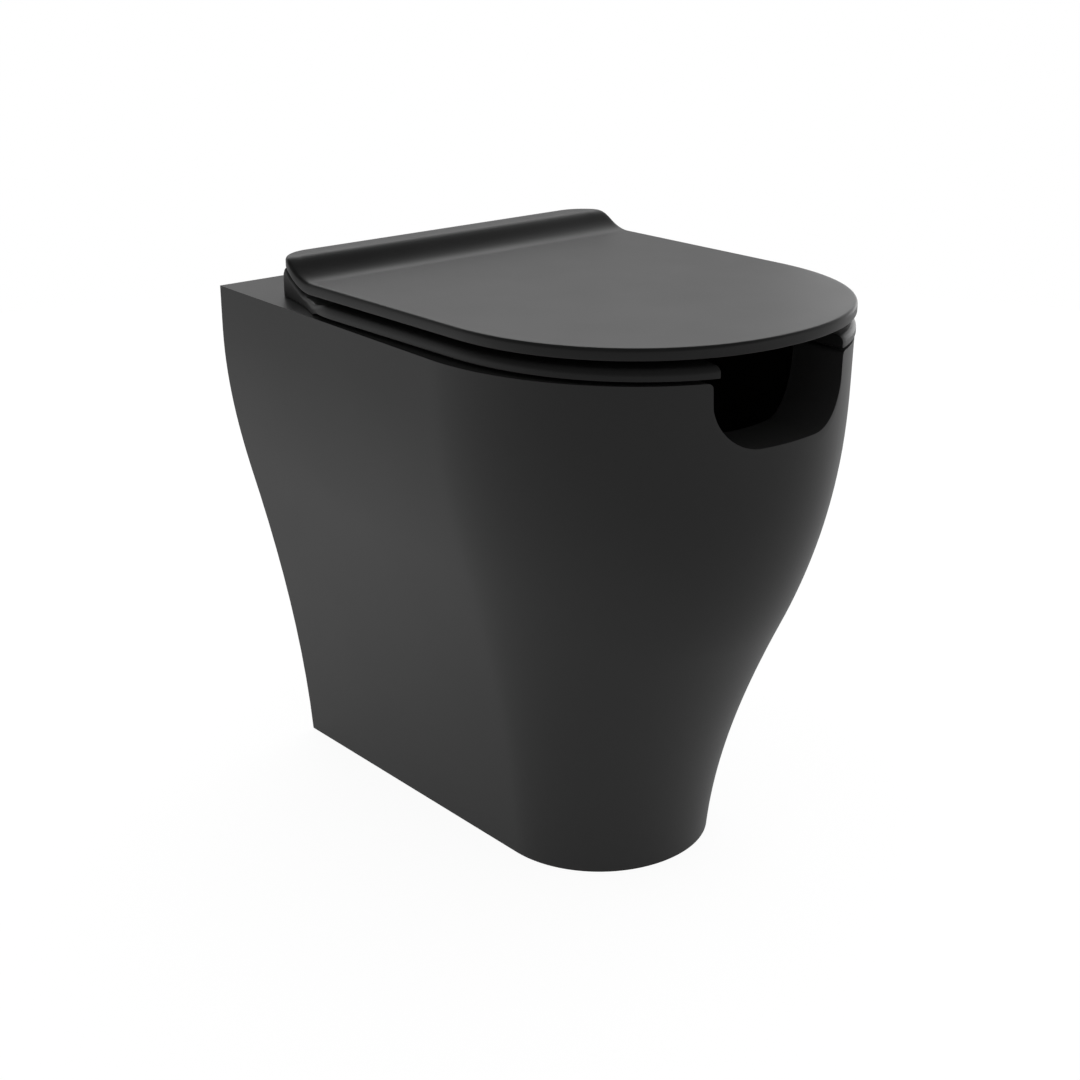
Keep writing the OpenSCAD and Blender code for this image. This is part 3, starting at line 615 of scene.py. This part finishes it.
seat = sheet("seat_ring", len(ring) - 1, 2 * (SEAT_ROWS + SIDE_ROWS) + ROUND_ROWS, seat_point)
for side in (1, -1):
    pick(seat, "EDGE", lambda middle, edge: len(edge.link_faces) == 1 and middle.x * side > 0)
    bpy.ops.mesh.edge_face_add()
bpy.ops.mesh.select_all(action="SELECT")
bpy.ops.mesh.normals_make_consistent(inside=False)
pick(seat, "EDGE", lambda middle, edge: sharp(edge, 45) and middle.z > RIM_HEIGHT + 0.006)
bpy.ops.mesh.bevel(offset=0.0022, segments=4, affect="EDGES", clamp_overlap=True)
pick(seat, "EDGE", lambda middle, edge: sharp(edge, 50) and middle.z < RIM_HEIGHT + 0.005)
bpy.ops.mesh.bevel(offset=0.001, segments=2, affect="EDGES", clamp_overlap=True)
bpy.ops.object.mode_set(mode="OBJECT")
for side in (1, -1):
    cut(seat, barrel(side * 0.091, side * 0.130, SOCKET_R), "UNION")
cut(seat, block((-0.093, 0.142, RIM_HEIGHT - 0.01), (0.093, 0.210, RIM_HEIGHT + 0.05)), "DIFFERENCE")
for side in (1, -1):
    cut(seat, barrel(side * 0.090, side * 0.120, SOCKET_BORE_R), "DIFFERENCE")
smooth(seat, 42)
seat_plastic = finish("satin_black_thermoset", (0.010, 0.010, 0.010), (0.013, 0.013, 0.013), 14.0,
                      (0.33, 0.39), 1400.0, 0.000015)
seat.data.materials.clear()
seat.data.materials.append(seat_plastic)
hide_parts("seat")
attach(seat, "seat_body")

# Lid: a thin plate of the same plastic, moulded with the same wave at the back, a small round along
# its upper edge, a shallow recess underneath, and two short arms that end in the hinge's knuckles.
LID_LOW = RIM_HEIGHT + 0.0187
LID_THICK = 0.0095
LID_RISE = 0.0153
LID_POWER = 2 / 2.12
LID_HALF_W = 0.180
LID_MID_Y = -0.083
LID_REACH = 0.178
LID_SIDE_END = 0.107
LID_CORNER_X = 0.144
LID_CORNER_Y = 0.133
LID_CORNER_R = 0.036


def lid_outline(inset):
    """The lid's plan from the middle of the front round the right-hand side to the middle of the back."""
    line = []
    for k in range(41):
        a = math.radians(90 * k / 40)
        line.append(((LID_HALF_W - inset) * math.sin(a) ** LID_POWER,
                     LID_MID_Y - (LID_REACH - inset) * max(0.0, math.cos(a)) ** LID_POWER))
    for k in range(1, 25):
        line.append((LID_HALF_W - inset, LID_MID_Y + (LID_SIDE_END - LID_MID_Y) * k / 24))
    for k in range(1, 11):
        line.append((LID_HALF_W - inset, LID_SIDE_END + (LID_CORNER_Y - LID_SIDE_END) * k / 10))
    corner_r = LID_CORNER_R - inset
    for k in range(1, 15):
        a = math.radians(90 * k / 14)
        line.append((LID_CORNER_X + corner_r * math.cos(a), LID_CORNER_Y + corner_r * math.sin(a)))
    return line + [(LID_CORNER_X * (1 - k / 20), LID_CORNER_Y + corner_r) for k in range(1, 21)]


def lid_level(y, rise):
    return LID_LOW + rise + LID_RISE * wave(y)


# Rings of the plate from the recess underneath, round its border and edge, to the top. Each has its
# distance in from the edge and its height over the underside.
RECESS = 0.0035
lid_rings = [(0.024, RECESS), (0.018, RECESS), (0.018, 0.0), (0.009, 0.0), (0.0, 0.0), (0.0, LID_THICK),
             (0.006, LID_THICK), (0.012, LID_THICK)]
lid_lines = [lid_outline(inset) for inset, rise in lid_rings]
LAST = len(lid_lines[0]) - 1


def lid_point(i, j):
    k = i % (2 * LAST)
    x, y = lid_lines[j][k if k <= LAST else 2 * LAST - k]
    return Vector((x if k <= LAST else -x, y, lid_level(y, lid_rings[j][1])))


lid = sheet("lid_plate", 2 * LAST, len(lid_rings) - 1, lid_point)
FRONT_HALF, BACK_HALF = 20, 26
for j in (0, len(lid_rings) - 1):
    line = [Vector((x, y)) for x, y in lid_lines[j]]
    flip = Vector((-1, 1))
    front = [p * flip for p in reversed(line[1:FRONT_HALF + 1])] + line[:FRONT_HALF + 1]
    back = [p * flip for p in line[LAST - BACK_HALF:LAST]] + list(reversed(line[LAST - BACK_HALF:]))
    right = line[FRONT_HALF:LAST - BACK_HALF + 1]

    def field_point(i, k):
        """A point of the field inside the ring, set out evenly between its front, back and sides."""
        s, t = i / (len(front) - 1), k / (len(right) - 1)
        place = s * (len(back) - 1)
        n = min(int(place), len(back) - 2)
        rear = back[n].lerp(back[n + 1], place - n)
        p = (front[i].lerp(rear, t) + (right[k] * flip).lerp(right[k], s)
             - front[0].lerp(front[-1], s).lerp(back[0].lerp(back[-1], s), t))
        return Vector((p.x, p.y, lid_level(p.y, lid_rings[j][1])))

    field = sheet("lid_field", len(front) - 1, len(right) - 1, field_point)
    lid.select_set(True)
    bpy.context.view_layer.objects.active = lid
    bpy.ops.object.join()
bpy.ops.object.mode_set(mode="EDIT")
bpy.ops.mesh.select_all(action="SELECT")
bpy.ops.mesh.remove_doubles(threshold=0.00005)
bpy.ops.mesh.normals_make_consistent(inside=False)
pick(lid, "EDGE", lambda middle, edge: sharp(edge, 50)
     and edge.link_faces[0].normal.z + edge.link_faces[1].normal.z > 0.3)
bpy.ops.mesh.bevel(offset=0.0028, segments=6, affect="EDGES", clamp_overlap=True)
pick(lid, "EDGE", lambda middle, edge: sharp(edge, 50))
bpy.ops.mesh.bevel(offset=0.0012, segments=3, affect="EDGES", clamp_overlap=True)
bpy.ops.object.mode_set(mode="OBJECT")


def arm(from_x, to_x):
    """The web under the wave that carries a knuckle behind the lid's rear edge."""
    outline = [(y, lid_level(y, LID_THICK / 2)) for y in (0.149, 0.164)]
    web_r = 0.0105
    low, high = math.radians(229), math.radians(65)
    outline[1:1] = [(AXIS_Y + web_r * math.cos(a), AXIS_Z + web_r * math.sin(a)) for a in (low, high)]
    bpy.ops.object.select_all(action="DESELECT")
    bpy.ops.mesh.primitive_circle_add(vertices=len(outline), fill_type="NGON")
    web = bpy.context.object
    for v, (y, z) in zip(web.data.vertices, outline):
        v.co = (from_x, y, z)
    bpy.ops.object.mode_set(mode="EDIT")
    bpy.ops.mesh.select_all(action="SELECT")
    bpy.ops.mesh.extrude_region_move(TRANSFORM_OT_translate={"value": (to_x - from_x, 0.0, 0.0)})
    bpy.ops.mesh.select_all(action="SELECT")
    bpy.ops.mesh.normals_make_consistent(inside=False)
    bpy.ops.object.mode_set(mode="OBJECT")
    return web


for side in (1, -1):
    knuckle = barrel(side * 0.029, side * 0.062, SOCKET_R, 0.0008)
    cut(knuckle, arm(side * 0.030, side * 0.061), "UNION")
    cut(lid, knuckle, "UNION")
    cut(lid, barrel(side * 0.035, side * 0.064, SOCKET_BORE_R), "DIFFERENCE")
smooth(lid, 35)
lid_plastic = finish("satin_black_lid", (0.010, 0.010, 0.010), (0.013, 0.013, 0.013), 14.0,
                     (0.33, 0.39), 1400.0, 0.000015)
lid.data.materials.clear()
lid.data.materials.append(lid_plastic)
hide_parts("lid")
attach(lid, "lid_body")

# Hinge: two black moulded posts stand on the deck, and a steel pin through each carries the sockets of
# seat and lid, on a pale soft-close damper at one end and a dark bush at the other.
post_plastic = finish("moulded_black", (0.012, 0.012, 0.012), (0.020, 0.020, 0.020), 30.0, (0.42, 0.55),
                      900.0, 0.00004)
steel = finish("drawn_steel", (0.50, 0.50, 0.51), (0.62, 0.62, 0.63), 60.0, (0.22, 0.38), 300.0, 0.00002,
               1.0, stretch=(6, 1, 1))
damper_plastic = finish("natural_plastic", (0.66, 0.65, 0.61), (0.76, 0.75, 0.72), 40.0, (0.35, 0.5), 700.0,
                        0.00003)
bush_plastic = finish("bush_plastic", (0.06, 0.06, 0.062), (0.09, 0.09, 0.092), 40.0, (0.4, 0.55), 700.0,
                      0.00003)
dress(("post_left", "post_right"), post_plastic)
dress(("pin_left", "pin_right"), steel)
dress(("seat_damper", "lid_damper"), damper_plastic)
dress(("seat_bush", "lid_bush"), bush_plastic)

# Fixings: a threaded stud under each post goes down through a rubber sleeve in the deck's hole, which
# the washer and nut below squeeze tight. Rubber gaskets and buffers keep the plastic off the glaze.
zinc = finish("zinc_plate", (0.50, 0.51, 0.50), (0.66, 0.67, 0.66), 120.0, (0.3, 0.48), 500.0, 0.00004, 1.0)
rubber = finish("black_rubber", (0.016, 0.016, 0.017), (0.028, 0.028, 0.029), 60.0, (0.7, 0.85), 800.0,
                0.0001)
dress(("stud_left", "stud_right"), steel)
dress(("washer_left", "washer_right", "nut_left", "nut_right"), zinc)
dress(("post_gasket_left", "post_gasket_right", "sleeve_left", "sleeve_right"), rubber)
dress([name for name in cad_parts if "_buffer_" in name], rubber)
